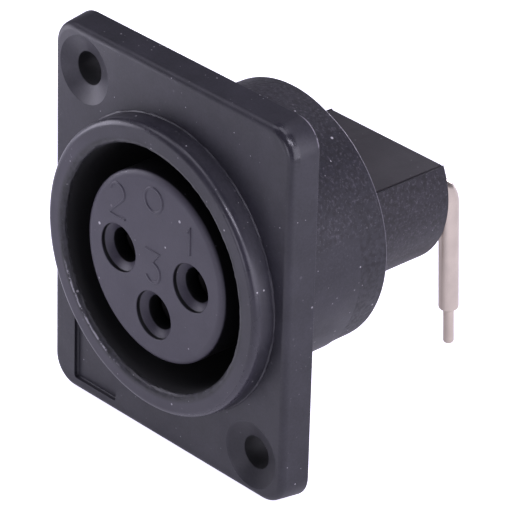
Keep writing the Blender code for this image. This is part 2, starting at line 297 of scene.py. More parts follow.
def smooth(piece, degrees=32.0):
    """Smooth the rounds and keep the flats flat."""
    only(piece)
    bpy.ops.object.shade_smooth_by_angle(angle=math.radians(degrees))
    modifier = piece.modifiers.new("flats", "WEIGHTED_NORMAL")
    modifier.keep_sharp = True
    bpy.ops.object.modifier_apply(modifier=modifier.name)


def dress(piece, material, slot, *nodes):
    piece.data.materials.clear()
    piece.data.materials.append(material)
    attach(piece, "root")
    if nodes:
        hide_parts(*nodes)


# Shell: flange, collar and barrel in one

def make_flange():
    flange = block(
        "front_flange",
        (-FLANGE_HALF_WIDTH, FLANGE_FRONT, -FLANGE_HALF_HEIGHT),
        (FLANGE_HALF_WIDTH, FLANGE_BACK, FLANGE_HALF_HEIGHT),
    )
    edit(flange)
    pick("edges", runs_along_axis)
    bevel(FLANGE_CORNER, 14)
    pick("faces", facing((0.0, -1.0, 0.0)))
    narrower = 1.0 - FLANGE_TAPER / FLANGE_HALF_WIDTH
    lower = 1.0 - FLANGE_TAPER / FLANGE_HALF_HEIGHT
    bpy.ops.transform.resize(
        value=(narrower, 1.0, lower), center_override=(0.0, FLANGE_FRONT * MM, 0.0)
    )
    round_rim((0.0, -1.0, 0.0), FLANGE_FRONT_ROUND, 6)
    round_rim((0.0, 1.0, 0.0), FLANGE_BACK_ROUND, 3)
    bpy.ops.object.mode_set(mode="OBJECT")
    return flange


def screw_hole(x, z):
    """The cutter for a screw hole and its shallow countersink."""
    sink = [
        (FLANGE_FRONT - 0.1, 2.82),
        (FLANGE_FRONT, 2.68),
        (FLANGE_FRONT + 0.06, SINK_RADIUS),
        (FLANGE_FRONT + 0.5, 1.38),
        (FLANGE_FRONT + 0.56, SCREW_RADIUS),
        (FLANGE_BACK + 0.2, SCREW_RADIUS),
    ]
    return lathe("screw_hole", sink, SCREW_ROUND, (x, z))


def sunk_field():
    """The cutter for the sunk field at the flange's lower left, which the collar covers above."""
    field = block(
        "field",
        (FIELD_LEFT, FLANGE_FRONT - 0.5, FIELD_BOTTOM),
        (FIELD_RIGHT, FLANGE_FRONT + FIELD_DEPTH, 0.0),
    )
    edit(field)
    pick("edges", runs_along_axis)
    bevel(0.25, 4)
    round_rim((0.0, 1.0, 0.0), 0.1, 3)
    bpy.ops.object.mode_set(mode="OBJECT")
    return field


def make_shell():
    shell = make_flange()
    for x, z in SCREW_PLACES:
        combine(shell, screw_hole(x, z))
    combine(shell, sunk_field())

    collar = corner(COLLAR_CROWN + CROWN_ROUND, CROWN_EDGE, -90.0, 0.0, CROWN_ROUND, 8)
    collar[0] = (COLLAR_CROWN, CROWN_EDGE)
    collar += [
        (FLANGE_FRONT - 0.14, 11.5),
        (FLANGE_FRONT - 0.12, 11.56),
        (FLANGE_FRONT - 0.06, COLLAR_RADIUS),
        (BARREL_START, COLLAR_RADIUS),
    ]
    band_end = BARREL_END - RIM_ROUND
    barrel = [
        (BARREL_START, BARREL_RADIUS + 0.08),
        (BAND_START - 0.04, BARREL_RADIUS),
        (BAND_START + 0.02, BAND_RADIUS),
        (band_end, BAND_RADIUS - 0.05),
    ]
    barrel += corner(band_end, BAND_RADIUS - 0.2, 0.0, 90.0, RIM_ROUND, 4)[1:]
    combine(shell, lathe("collar_and_barrel", collar + barrel), "UNION")
    # The barrel is a little out of round: it swells to the upper left
    swell = [(y - 0.02, r - SWELL_INSIDE) for y, r in barrel]
    combine(shell, lathe("barrel_swell", swell, LARGE_ROUND, SWELL_AXIS), "UNION")

    mouth = [(COLLAR_CROWN - 0.4, BORE_RADIUS + 2.0 * MOUTH_ROUND)]
    mouth += corner(
        COLLAR_CROWN + MOUTH_ROUND, BORE_RADIUS + MOUTH_ROUND, -90.0, -180.0, MOUTH_ROUND, 8
    )
    mouth += [(0.02, BORE_RADIUS), (0.3, BORE_RADIUS), (BORE_FLOOR, BORE_RADIUS)]
    combine(shell, lathe("bore", mouth))
    reach = BLOCK_RADIUS + FIT_GAP
    opening = lathe("insert_opening", [(BORE_FLOOR - 0.5, reach), (BARREL_END + 0.5, reach)])
    flatten_top(opening, BLOCK_FLAT + FIT_GAP)
    combine(shell, opening)

    roughen(shell, in_mouth_round, 0.035, 7)
    roughen(shell, on_collar_foot, 0.03, 3)
    smooth(shell)
    return shell


def in_mouth_round(vertex):
    depth = vertex.co.y / MM - COLLAR_CROWN
    return off_axis_mm(vertex) < BORE_RADIUS + 0.4 and 0.02 < depth < 0.5


def on_collar_foot(vertex):
    on_side = COLLAR_RADIUS - 0.08 < off_axis_mm(vertex) < COLLAR_RADIUS + 0.05
    return on_side and vertex.co.y / MM < FLANGE_FRONT - 0.03


# Insert: the core with its contact holes, and the block behind the barrel

def contact_hole(x, z):
    """The cutter for a mouth, its cone and neck, and the chamber behind them."""
    rings = [
        (-0.3, 2.24),
        (-0.01, 1.95),
        (0.04, 1.91),
        (MOUTH_DEPTH, 1.89),
        (MOUTH_DEPTH + 0.02, 1.86),
        (NECK_START - 0.02, 1.375),
        (NECK_START + 0.03, NECK_RADIUS),
        (CHAMBER_START, NECK_RADIUS),
        (CHAMBER_START, CHAMBER_RADIUS),
        (BLOCK_BACK + 0.3, CHAMBER_RADIUS),
    ]
    return lathe("contact_hole", rings, HOLE_ROUND, (x, z))


def make_insert():
    rings = []
    for angle in sweep(0.0, 90.0, 8):
        depth = CORE_ROUND_DEPTH * (1.0 - math.cos(angle))
        rings.append((depth, CORE_RADIUS - CORE_ROUND_WIDTH * (1.0 - math.sin(angle))))
    insert = lathe("insert", rings + [(CORE_END, CORE_RADIUS)])
    rings = [
        (CORE_END - 0.5, BLOCK_RADIUS),
        (BLOCK_BACK - 0.15, BLOCK_RADIUS),
        (BLOCK_BACK, BLOCK_RADIUS - 0.15),
    ]
    back = lathe("rear_block", rings)
    flatten_top(back, BLOCK_FLAT)
    combine(insert, back, "UNION")

    half = BLOCK_TOP_HALF - RECESS_EDGE
    cuts = (
        (
            "lid_recess",
            (-half, BARREL_END, BLOCK_FLAT - LID_THICKNESS - FIT_GAP),
            (half, BLOCK_BACK + 0.5, BLOCK_FLAT + 0.5),
        ),
        (
            "comb_well",
            (-half, COMB_FRONT - FIT_GAP, BLOCK_FLAT - COMB_DROP - FIT_GAP),
            (half, COMB_FRONT + COMB_THICKNESS + FIT_GAP, 2.2),
        ),
    )
    for name, low, high in cuts:
        combine(insert, block(name, low, high))
    for contact in CONTACTS:
        combine(insert, contact_hole(contact.x, contact.z))
    tail_slot = block(
        "tail_slot",
        (-WINDOW_HALF, TAIL_SLOT_FRONT, TAIL_SLOT_LOW),
        (WINDOW_HALF, BLOCK_BACK + 0.5, TAIL_SLOT_HIGH),
    )
    combine(insert, tail_slot)
    smooth(insert)
    return insert


def make_lid():
    half = BLOCK_TOP_HALF - LID_EDGE
    start = BARREL_END + FIT_GAP
    lid = block(
        "lid", (-half, start, BLOCK_FLAT - LID_THICKNESS), (half, BLOCK_BACK - 0.15, BLOCK_FLAT)
    )
    edit(lid)
    pick("faces", facing((0.0, 1.0, 0.0)))
    bpy.ops.transform.resize(
        value=(1.0 + 0.1 / half, 1.0, 1.0), center_override=(0.0, BLOCK_BACK * MM, 0.0)
    )
    round_rim((0.0, 0.0, 1.0), 0.05, 2)
    # Short cuts across the lid, so that its edge can be ragged
    for step in range(1, LID_CUTS + 1):
        bpy.ops.mesh.select_all(action="SELECT")
        bpy.ops.mesh.bisect(
            plane_co=(0.0, (start + LID_CUT_STEP * step) * MM, 0.0), plane_no=(0.0, 1.0, 0.0)
        )
    bpy.ops.object.mode_set(mode="OBJECT")

    comb = block(
        "comb",
        (-half + 0.3, COMB_FRONT, BLOCK_FLAT - COMB_DROP),
        (half - 0.3, COMB_FRONT + COMB_THICKNESS, BLOCK_FLAT - 0.5),
    )
    combine(lid, comb, "UNION")
    front, back = COMB_FRONT - 0.5, COMB_FRONT + 2.1
    for x in (-CONTACT_CIRCLE, CONTACT_CIRCLE):
        window = block("comb_window", (x - WINDOW_HALF, front, -2.0), (x + WINDOW_HALF, back, 0.0))
        combine(lid, window)
        rings = [(front, WINDOW_HALF), (back, WINDOW_HALF)]
        arch = lathe("comb_arch", rings, ARCH_ROUND, (x, 0.0))
        combine(lid, arch)

    def on_right_edge(vertex):
        return vertex.co.x / MM > half - 0.08 and vertex.co.z / MM > BLOCK_FLAT - 0.001

    edit(lid)
    pick("verts", on_right_edge)
    shake(0.05, 5)
    bpy.ops.transform.resize(
        value=(1.0, 1.0, 0.0), center_override=(0.0, 0.0, BLOCK_FLAT * MM)
    )
    bpy.ops.object.mode_set(mode="OBJECT")
    smooth(lid)
    return lid


# Contacts: a sleeve in the insert, drawn out into a rod that bends down to the board

def make_contact(contact):
    x, z = contact.x, contact.z
    bend_start = contact.row - contact.bend
    bend_middle = z - contact.bend
    turn = math.radians(contact.turned)
    rings = [
        (PIN_HOLE_TIP, 0.15),
        (PIN_HOLE_SIDE_END, PIN_HOLE_RADIUS),
        (SLEEVE_START + 0.2, PIN_HOLE_RADIUS),
        (SLEEVE_START, 1.45),
        (SLEEVE_START, 1.55),
        (SLEEVE_START + 0.1, SLEEVE_RADIUS),
        (contact.shoulder - 0.22, SLEEVE_RADIUS),
        (contact.shoulder, 1.43),
        (contact.shoulder, ROD_RADIUS),
        (bend_start, ROD_RADIUS),
    ]
    pin = lathe("contact_pin_%d" % contact.number, rings, CONTACT_ROUND, (x, z))

    def is_rod_end(face):
        at_end = face.calc_center_median().y > (bend_start - 0.001) * MM
        return at_end and facing((0, 1, 0))(face)

    edit(pin)
    pick("faces", is_rod_end)
    bpy.ops.mesh.spin(
        steps=14,
        angle=turn,
        center=(x * MM, bend_start * MM, bend_middle * MM),
        axis=(1.0, 0.0, 0.0),
    )
    heading = Vector((0.0, math.cos(turn), -math.sin(turn)))
    place = Vector(
        (
            x,
            bend_start + contact.bend * math.sin(turn),
            bend_middle + contact.bend * math.cos(turn),
        )
    )
    was_r = ROD_RADIUS
    for height, r in TAIL_STEPS:
        step = heading * ((height - place.z) / heading.z)
        place = place + step
        bpy.ops.mesh.extrude_region_move(TRANSFORM_OT_translate={"value": step * MM})
        grow = r / was_r
        bpy.ops.transform.resize(value=(grow, grow, grow), center_override=place * MM)
        was_r = r
    bpy.ops.mesh.select_all(action="SELECT")
    bpy.ops.mesh.remove_doubles(threshold=1e-7)
    bpy.ops.mesh.normals_make_consistent(inside=False)
    bpy.ops.object.mode_set(mode="OBJECT")
    slit = block(
        "slit",
        (x - SLEEVE_RADIUS - 0.5, SLEEVE_START - 0.5, z - SLIT_HALF),
        (x + SLEEVE_RADIUS + 0.5, SLEEVE_START + SLIT_LENGTH, z + SLIT_HALF),
    )
    combine(pin, slit)
    smooth(pin)
    return pin


# Numerals beside the holes: raised strokes, round in section

def stroke(name, points):
    """One raised line on the core's face. points are (x, z)."""
    curve = bpy.data.curves.new(name, "CURVE")
    curve.dimensions = "3D"
    curve.bevel_depth = STROKE_RADIUS * MM
    curve.bevel_resolution = 3
    curve.use_fill_caps = True
    line = curve.splines.new("POLY")
    line.points.add(len(points) - 1)
    for point, (x, z) in zip(line.points, points):
        point.co = (x * MM, STROKE_DEPTH * MM, z * MM, 1.0)
    piece = bpy.data.objects.new(name, curve)
    bpy.context.scene.collection.objects.link(piece)
    only(piece)
    bpy.ops.object.convert(target="MESH")
    return bpy.context.object


def arc_points(x, z, radius, from_degrees, to_degrees, steps=14):
    return [
        (x + radius * math.cos(angle), z + radius * math.sin(angle))
        for angle in sweep(from_degrees, to_degrees, steps)
    ]


def make_numerals():
    three = [(-0.95, 1.3), (0.6, 1.3), (-0.15, 0.35)]
    three += arc_points(-0.15, -0.45, 0.8, 80.0, -150.0)
    lines = [
        stroke("one", [(3.55, 4.4), (3.85, 4.85), (3.85, 2.65)]),
        stroke("two", arc_points(-4.1, 4.55, 0.75, 170.0, -30.0) + [(-4.95, 2.6), (-3.25, 2.6)]),
        stroke("three", three),
        stroke("ejector_ring", arc_points(-0.15, 5.5, 0.95, 0.0, 359.0, 40)),
    ]
    bpy.ops.object.select_all(action="DESELECT")
    for line in lines:
        line.select_set(True)
    bpy.context.view_layer.objects.active = lines[0]
    bpy.ops.object.join()
    numerals = place_applied("numerals")
    edit(numerals)
    bpy.ops.mesh.select_all(action="SELECT")
    bpy.ops.mesh.remove_doubles(threshold=0.0005 * MM)
    bpy.ops.mesh.normals_make_consistent(inside=False)
    bpy.ops.object.mode_set(mode="OBJECT")
    smooth(numerals, 50.0)
    return numerals


# Materials: sockets go in and come out, and a mask is 1 where its effect is full

DUST_COLOUR = (0.55, 0.53, 0.56)
NO_LIGHT = (0.0015, 0.0015, 0.002)
DEEP_SHADE = (0.003, 0.003, 0.004)
EDGE_SHADE = (0.004, 0.004, 0.005)
DARK_PATCHES = (0.006, 0.005, 0.007)
PALE_FLECKS = (0.11, 0.10, 0.12)
GRAIN_HEIGHT = 0.00002
PLATING_GRAIN_HEIGHT = 0.00001


def node(tree, kind, inputs=None, **settings):
    made = tree.nodes.new(kind)
    for name, value in settings.items():
        setattr(made, name, value)
    for name, value in (inputs or {}).items():
        if isinstance(value, bpy.types.NodeSocket):
            tree.links.new(value, made.inputs[name])
        else:
            made.inputs[name].default_value = value
    return made


def maths(tree, operation, *values, clamp=False):
    inputs = dict(enumerate(values))
    return node(tree, "ShaderNodeMath", inputs, operation=operation, use_clamp=clamp).outputs[0]


def ramp(tree, value, low, high, to_low=0.0, to_high=1.0):
    inputs = {
        "Value": value, "From Min": low, "From Max": high, "To Min": to_low, "To Max": to_high
    }
    return node(tree, "ShaderNodeMapRange", inputs, clamp=True).outputs["Result"]


def band(tree, value, low, high, soft=0.03):
    """A mask between low and high, with soft sides."""
    rise = ramp(tree, value, low - soft, low + soft)
    fall = ramp(tree, value, high - soft, high + soft, 1.0, 0.0)
    return maths(tree, "MULTIPLY", rise, fall)


def overlap(tree, first, *others):
    """The mask where all of these are."""
    for other in others:
        first = maths(tree, "MULTIPLY", first, other)
    return first


def either(tree, first, second):
    return maths(tree, "MAXIMUM", first, second)


def away_from(tree, mask):
    return maths(tree, "SUBTRACT", 1.0, mask)


def add_where(tree, value, mask, amount):
    return maths(tree, "MULTIPLY_ADD", mask, amount, value)


def blend_colour(tree, factor, first, second):
    inputs = {0: factor, 6: first, 7: second}
    return node(tree, "ShaderNodeMix", inputs, data_type="RGBA").outputs[2]


def paint_where(tree, colour, mask, paint, cover=1.0):
    """Lay paint over the colour. cover is how much of it the paint hides at most."""
    if cover < 1.0:
        mask = maths(tree, "MULTIPLY", mask, cover)
    return blend_colour(tree, mask, colour, (*paint, 1.0))


def new_group(name, inputs, outputs):
    tree = bpy.data.node_groups.new(name, "ShaderNodeTree")
    for label, kind, value in inputs:
        socket = tree.interface.new_socket(label, in_out="INPUT", socket_type=kind)
        if value is not None:
            socket.default_value = value
    for label, kind in outputs:
        tree.interface.new_socket(label, in_out="OUTPUT", socket_type=kind)
    return tree, tree.nodes.new("NodeGroupInput").outputs, tree.nodes.new("NodeGroupOutput").inputs


def moulded_grain_group():
    """Fine satin grain, with broad clouds that change it from place to place."""
    tree, given, result = new_group(
        "moulded_grain",
        [("Place", "NodeSocketVector", None), ("Grain", "NodeSocketFloat", 6000.0)],
        [("Height", "NodeSocketFloat"), ("Clouds", "NodeSocketFloat")],
    )
    place = given["Place"]
    inputs = {"Vector": place, "Scale": given["Grain"], "Detail": 3.0}
    fine = node(tree, "ShaderNodeTexNoise", inputs).outputs["Fac"]
    inputs = {"Vector": place, "Scale": 420.0, "Detail": 5.0, "Roughness": 0.6}
    broad = node(tree, "ShaderNodeTexNoise", inputs).outputs["Fac"]
    tree.links.new(add_where(tree, broad, fine, 0.7), result["Height"])
    tree.links.new(ramp(tree, broad, 0.36, 0.66), result["Clouds"])
    return tree


def dust_group():
    """Round specks scattered at random, most of them faint and a few bright."""
    tree, given, result = new_group(
        "dust_specks",
        [
            ("Place", "NodeSocketVector", None),
            ("Cells", "NodeSocketFloat", 900.0),
            ("Amount", "NodeSocketFloat", 0.1),
            ("Size", "NodeSocketFloat", 0.12),
        ],
        [("Mask", "NodeSocketFloat")],
    )
    inputs = {"Vector": given["Place"], "Scale": given["Cells"]}
    cells = node(tree, "ShaderNodeTexVoronoi", inputs)
    chance = node(tree, "ShaderNodeSeparateColor", {"Color": cells.outputs["Color"]}).outputs
    kept = maths(tree, "LESS_THAN", chance["Red"], given["Amount"])
    size = ramp(tree, chance["Green"], 0.0, 1.0, 0.4, 1.0)
    reach = maths(tree, "MULTIPLY", given["Size"], size)
    off_middle = maths(tree, "DIVIDE", cells.outputs["Distance"], reach)
    near = maths(tree, "SUBTRACT", 1.0, off_middle, clamp=True)
    soft = maths(tree, "MULTIPLY", near, 3.0, clamp=True)
    faint = ramp(tree, maths(tree, "POWER", chance["Blue"], 4.0), 0.0, 1.0, 0.06, 0.9)
    tree.links.new(overlap(tree, soft, faint, kept), result["Mask"])
    return tree


def smear_group():
    """Long soft marks of handling, which take the sheen off here and there."""
    tree, given, result = new_group(
        "handling_smears",
        [("Place", "NodeSocketVector", None), ("Scale", "NodeSocketFloat", 260.0)],
        [("Dulled", "NodeSocketFloat")],
    )
    inputs = {"Vector": given["Place"], "Rotation": (0.5, 0.9, 0.3), "Scale": (1.0, 0.45, 1.0)}
    turned = node(tree, "ShaderNodeMapping", inputs).outputs["Vector"]
    inputs = {"Vector": turned, "Scale": given["Scale"], "Detail": 7.0, "Distortion": 0.8}
    marks = node(tree, "ShaderNodeTexNoise", inputs).outputs["Fac"]
    tree.links.new(ramp(tree, marks, 0.42, 0.64), result["Dulled"])
    return tree


GRAIN = moulded_grain_group()
DUST = dust_group()
SMEARS = smear_group()


def place_group(tree, group, inputs):
    return node(tree, "ShaderNodeGroup", inputs, node_tree=group).outputs


def new_material(name):
    material = bpy.data.materials.new(name)
    material.use_nodes = True
    tree = material.node_tree
    place = node(tree, "ShaderNodeTexCoord").outputs["Object"]
    return material, tree, tree.nodes["Principled BSDF"], place


Spot = namedtuple("Spot", "across along up off_axis flat")


def find_spot(tree, place):
    """Object coordinates in millimetres, the distance from the axis, and X and Z alone."""
    millimetres = {0: place, "Scale": 1.0 / MM}
    scaled = node(tree, "ShaderNodeVectorMath", millimetres, operation="SCALE").outputs[0]
    parts = node(tree, "ShaderNodeSeparateXYZ", {"Vector": scaled}).outputs
    inputs = {"X": parts["X"], "Y": 0.0, "Z": parts["Z"]}
    flat = node(tree, "ShaderNodeCombineXYZ", inputs).outputs[0]
    off_axis = node(tree, "ShaderNodeVectorMath", {0: flat}, operation="LENGTH").outputs["Value"]
    return Spot(parts["X"], parts["Y"], parts["Z"], off_axis, flat)


def near_axis(tree, spot, x, z, inner, outer):
    """A mask within inner of an axis along Y at (x, z), gone beyond outer."""
    inputs = {0: spot.flat, 1: (x, 0.0, z)}
    distance = node(tree, "ShaderNodeVectorMath", inputs, operation="DISTANCE").outputs["Value"]
    return ramp(tree, distance, inner, outer, 1.0, 0.0)


def specks(tree, place, dust):
    """Coarse and fine specks together. dust is the share of places that hold one."""
    masks = []
    for cells, size in ((800.0, 0.11), (1800.0, 0.16)):
        inputs = {"Place": place, "Cells": cells, "Amount": dust, "Size": size}
        masks.append(place_group(tree, DUST, inputs)["Mask"])
    return either(tree, *masks)


def add_grain_bump(tree, shader, grain, strength, height):
    inputs = {"Height": grain["Height"], "Strength": strength, "Distance": height}
    bump = node(tree, "ShaderNodeBump", inputs)
    tree.links.new(bump.outputs["Normal"], shader.inputs["Normal"])


def finish_plastic(tree, shader, place, colour, roughness, dust):
    """Dust over the colour, and satin grain under it."""
    dusted = paint_where(tree, colour, specks(tree, place, dust), DUST_COLOUR)
    tree.links.new(dusted, shader.inputs["Base Color"])
    tree.links.new(roughness, shader.inputs["Roughness"])
    grain = place_group(tree, GRAIN, {"Place": place})
    add_grain_bump(tree, shader, grain, 0.35, GRAIN_HEIGHT)


def mottled(tree, place, scale, low=0.42, high=0.6):
    """Small uneven patches, from 0 to 1."""
    inputs = {"Vector": place, "Scale": scale, "Detail": 4.0, "Roughness": 0.7}
    spots = node(tree, "ShaderNodeTexNoise", inputs).outputs["Fac"]
    return ramp(tree, spots, low, high)


def dark_patches(tree, place):
    return mottled(tree, place, 2600.0)


def pale_flecks(tree, place):
    return mottled(tree, place, 4200.0, 0.53, 0.72)


def clouded(tree, place, dark, light):
    """Broad clouds and fine flecks between two colours."""
    clouds = place_group(tree, GRAIN, {"Place": place})["Clouds"]
    flecks = mottled(tree, place, 5200.0, 0.38, 0.62)
    shade = maths(tree, "MULTIPLY_ADD", flecks, 0.45, maths(tree, "MULTIPLY", clouds, 0.55))
    return blend_colour(tree, shade, (*dark, 1.0), (*light, 1.0))


def smeared(tree, place, clean, dull, scale=260.0):
    """Roughness between clean and dull, where handling has left its marks."""
    dulled = place_group(tree, SMEARS, {"Place": place, "Scale": scale})["Dulled"]
    return ramp(tree, dulled, 0.0, 1.0, clean, dull)


def shell_moulding():
    material, tree, shader, place = new_material("shell_moulding")
    spot = find_spot(tree, place)
    patches = dark_patches(tree, place)
    flecks = pale_flecks(tree, place)
    colour = clouded(tree, place, (0.010, 0.0095, 0.014), (0.024, 0.0225, 0.031))
    roughness = smeared(tree, place, 0.41, 0.50)

    # Barrel: dark and mottled on top, paler and smoother below, with a duller band at the end
    behind_flange = ramp(tree, spot.along, FLANGE_BACK, FLANGE_BACK + 0.1)
    on_barrel = overlap(tree, behind_flange, ramp(tree, spot.off_axis, 9.8, 9.9))
    on_top = ramp(tree, spot.up, 2.4, 3.2)
    on_band = ramp(tree, spot.along, BAND_START - 0.03, BAND_START + 0.03)
    mottling = overlap(tree, on_barrel, patches, either(tree, on_top, on_band))
    colour = paint_where(tree, colour, mottling, DARK_PATCHES, 0.7)
    pale = overlap(tree, on_barrel, flecks, ramp(tree, on_top, 0.0, 1.0, 0.3, 1.0))
    colour = paint_where(tree, colour, pale, PALE_FLECKS, 0.6)
    roughness = add_where(tree, roughness, mottling, 0.12)
    roughness = add_where(tree, roughness, overlap(tree, on_band, on_barrel), 0.04)

    # Crown of the collar: a painted sheen on the flat, fading towards the top and upper right, a
    # polished outer round, and a ragged, dusty inner round with painted shade in patches
    in_front = ramp(tree, spot.along, 0.3, 0.0)
    to_upper_right = maths(tree, "ADD", spot.across, spot.up)
    # Painted sheen: the crown's flat is painted paler, less so at the top and towards the upper
    # right
    less_sheen_above = overlap(
        tree,
        ramp(tree, spot.up, 9.0, 6.0, 0.3, 1.0),
        ramp(tree, to_upper_right, 3.0, 9.0, 1.0, 0.3),
    )
    painted_sheen_on_flat = overlap(tree, in_front, ramp(tree, spot.off_axis, 10.12, 10.3), less_sheen_above)
    colour = paint_where(tree, colour, painted_sheen_on_flat, (0.034, 0.031, 0.043))
    on_outer_round = overlap(tree, in_front, ramp(tree, spot.off_axis, 10.9, 11.05))
    at_corner = overlap(
        tree, ramp(tree, to_upper_right, 25.6, 26.0), ramp(tree, spot.along, 2.2, 2.0)
    )
    polished = either(tree, on_outer_round, maths(tree, "MULTIPLY", at_corner, 1.7))
    roughness = add_where(tree, roughness, polished, -0.14)
    on_lip = overlap(tree, in_front, band(tree, spot.off_axis, 9.62, 10.1, 0.05))
    # Painted shade: the inner round is painted darker in patches
    colour = paint_where(tree, colour, overlap(tree, on_lip, patches), EDGE_SHADE)
    # Painted highlight: pale ragged specks along the lower left of the mouth's round
    painted_lip_highlight = overlap(
        tree,
        in_front,
        ramp(tree, to_upper_right, -12.4, -13.2),
        band(tree, spot.off_axis, 9.84, 9.98),
        mottled(tree, place, 1500.0, 0.44, 0.54),
    )
    colour = paint_where(tree, colour, painted_lip_highlight, (0.34, 0.33, 0.36), 0.7)

    # Painted shade: the inside of the bore is painted near black, as no light comes back from it
    in_bore = ramp(tree, spot.off_axis, BORE_RADIUS + 0.01, BORE_RADIUS + 0.04, 1.0, 0.0)
    colour = paint_where(tree, colour, in_bore, NO_LIGHT)
    roughness = either(tree, roughness, maths(tree, "MULTIPLY", in_bore, 0.75))

    # Painted shade: both screw holes are painted black inside, and the lower one's countersink is
    # painted darker too
    for (x, z), darker in zip(SCREW_PLACES, (0.0, 0.3)):
        in_sink = overlap(
            tree,
            near_axis(tree, spot, x, z, SINK_RADIUS - 0.1, SINK_RADIUS),
            ramp(tree, spot.along, FLANGE_FRONT, FLANGE_FRONT + 0.06),
        )
        in_hole = overlap(
            tree,
            near_axis(tree, spot, x, z, SCREW_RADIUS + 0.01, SCREW_RADIUS + 0.04),
            ramp(tree, spot.along, FLANGE_FRONT + 0.5, FLANGE_FRONT + 0.6),
        )
        shaded = either(tree, maths(tree, "MULTIPLY", in_sink, darker), in_hole)
        colour = paint_where(tree, colour, shaded, DEEP_SHADE)
        roughness = add_where(tree, roughness, shaded, 0.2)

    # Painted highlights: pale lines along the barrel's rim and on the burr at one corner of the
    # flange
    rim_highlight = overlap(
        tree, band(tree, spot.off_axis, 9.95, 10.6), ramp(tree, spot.along, 13.7, 13.78)
    )
    burr_highlight = overlap(
        tree,
        band(tree, spot.along, FLANGE_BACK - 0.14, FLANGE_BACK + 0.06),
        ramp(tree, to_upper_right, 26.2, 26.8),
        mottled(tree, place, 1200.0, 0.4, 0.5),
    )
    # Paint both highlights pale
    colour = paint_where(tree, colour, either(tree, rim_highlight, burr_highlight), (0.30, 0.28, 0.32), 0.5)

    dust = maths(tree, "MULTIPLY_ADD", on_lip, 0.5, 0.45)
    dust = overlap(tree, dust, away_from(tree, in_bore))
    finish_plastic(tree, shader, place, colour, roughness, dust)
    return material


def insert_moulding():
    material, tree, shader, place = new_material("insert_moulding")
    spot = find_spot(tree, place)
    colour = clouded(tree, place, (0.031, 0.0275, 0.041), (0.042, 0.038, 0.054))
    roughness = smeared(tree, place, 0.42, 0.48, 180.0)

    # Painted shade: the side of the core, the contact holes behind their cones and a thin ring
    # inside each mouth are painted black
    painted_black_shade = ramp(tree, spot.along, NECK_START - 0.03, NECK_START + 0.03)
    for contact in CONTACTS:
        mouth_outline_shade = overlap(
            tree,
            near_axis(tree, spot, contact.x, contact.z, 1.9, 1.93),
            ramp(tree, spot.along, 0.02, 0.05),
            away_from(tree, near_axis(tree, spot, contact.x, contact.z, 1.84, 1.87)),
        )
        painted_black_shade = either(tree, painted_black_shade, mouth_outline_shade)
    colour = paint_where(tree, colour, painted_black_shade, NO_LIGHT)
    # Painted shade: the core's round edge is painted darker
    core_edge_shade = overlap(
        tree, ramp(tree, spot.off_axis, 7.35, CORE_RADIUS), ramp(tree, spot.along, 0.2, 0.35)
    )
    colour = paint_where(tree, colour, core_edge_shade, EDGE_SHADE)

    # The block behind the barrel
    on_block = ramp(tree, spot.along, BARREL_END - 0.5, BARREL_END)
    block_colour = blend_colour(
        tree, dark_patches(tree, place), (0.018, 0.0155, 0.022, 1.0), (*DARK_PATCHES, 1.0)
    )
    block_colour = paint_where(tree, block_colour, pale_flecks(tree, place), PALE_FLECKS, 0.6)
    colour = blend_colour(tree, on_block, colour, block_colour)
    roughness = add_where(tree, roughness, on_block, 0.06)
    finish_plastic(tree, shader, place, colour, roughness, 0.3)
    return material


def lid_moulding():
    material, tree, shader, place = new_material("lid_moulding")
    colour = clouded(tree, place, (0.013, 0.011, 0.013), (0.024, 0.020, 0.023))
    finish_plastic(tree, shader, place, colour, smeared(tree, place, 0.42, 0.52), 0.4)
    return material


def plated_contact():
    """Silver-coloured plating, bright on the tails, with painted shade inside the insert and a
    painted dark reflection on the rear tails.
    """
    material, tree, shader, place = new_material("plated_contact")
    spot = find_spot(tree, place)
    grain = place_group(tree, GRAIN, {"Place": place, "Grain": 3000.0})
    shader.inputs["Metallic"].default_value = 1.0
    colour = blend_colour(tree, grain["Clouds"], (0.62, 0.538, 0.46, 1.0), (0.70, 0.61, 0.52, 1.0))
    roughness = ramp(tree, grain["Clouds"], 0.0, 1.0, 0.13, 0.21)

    # The rear tails get a painted dark reflection on the side towards the middle
    from_middle = maths(tree, "ABSOLUTE", spot.across)
    painted_dark_reflection = overlap(
        tree,
        ramp(tree, from_middle, CONTACT_CIRCLE + 0.4, CONTACT_CIRCLE + 0.05),
        ramp(tree, spot.along, 24.0, 25.5),
    )
    colour = paint_where(tree, colour, painted_dark_reflection, (0.26, 0.21, 0.18), 0.6)
    # Painted shade: the contacts are painted near black inside the insert
    inside = ramp(tree, spot.along, 13.0, 14.0, 1.0, 0.0)
    colour = paint_where(tree, colour, inside, (0.012, 0.011, 0.011))
    tree.links.new(colour, shader.inputs["Base Color"])
    roughness = add_where(tree, roughness, inside, 0.3)
    tree.links.new(roughness, shader.inputs["Roughness"])
    add_grain_bump(tree, shader, grain, 0.2, PLATING_GRAIN_HEIGHT)
    return material


# Camera and light

VIEW_AROUND = 46.823
VIEW_ABOVE = 28.733
VIEW_ROLL = 1.571
CAMERA_PLACE = (0.20093, -0.17851, 0.14859)
FOCAL_PIXELS = 4225.325
PICTURE_PIXELS = 510.0
SENSOR_WIDTH = 36.0


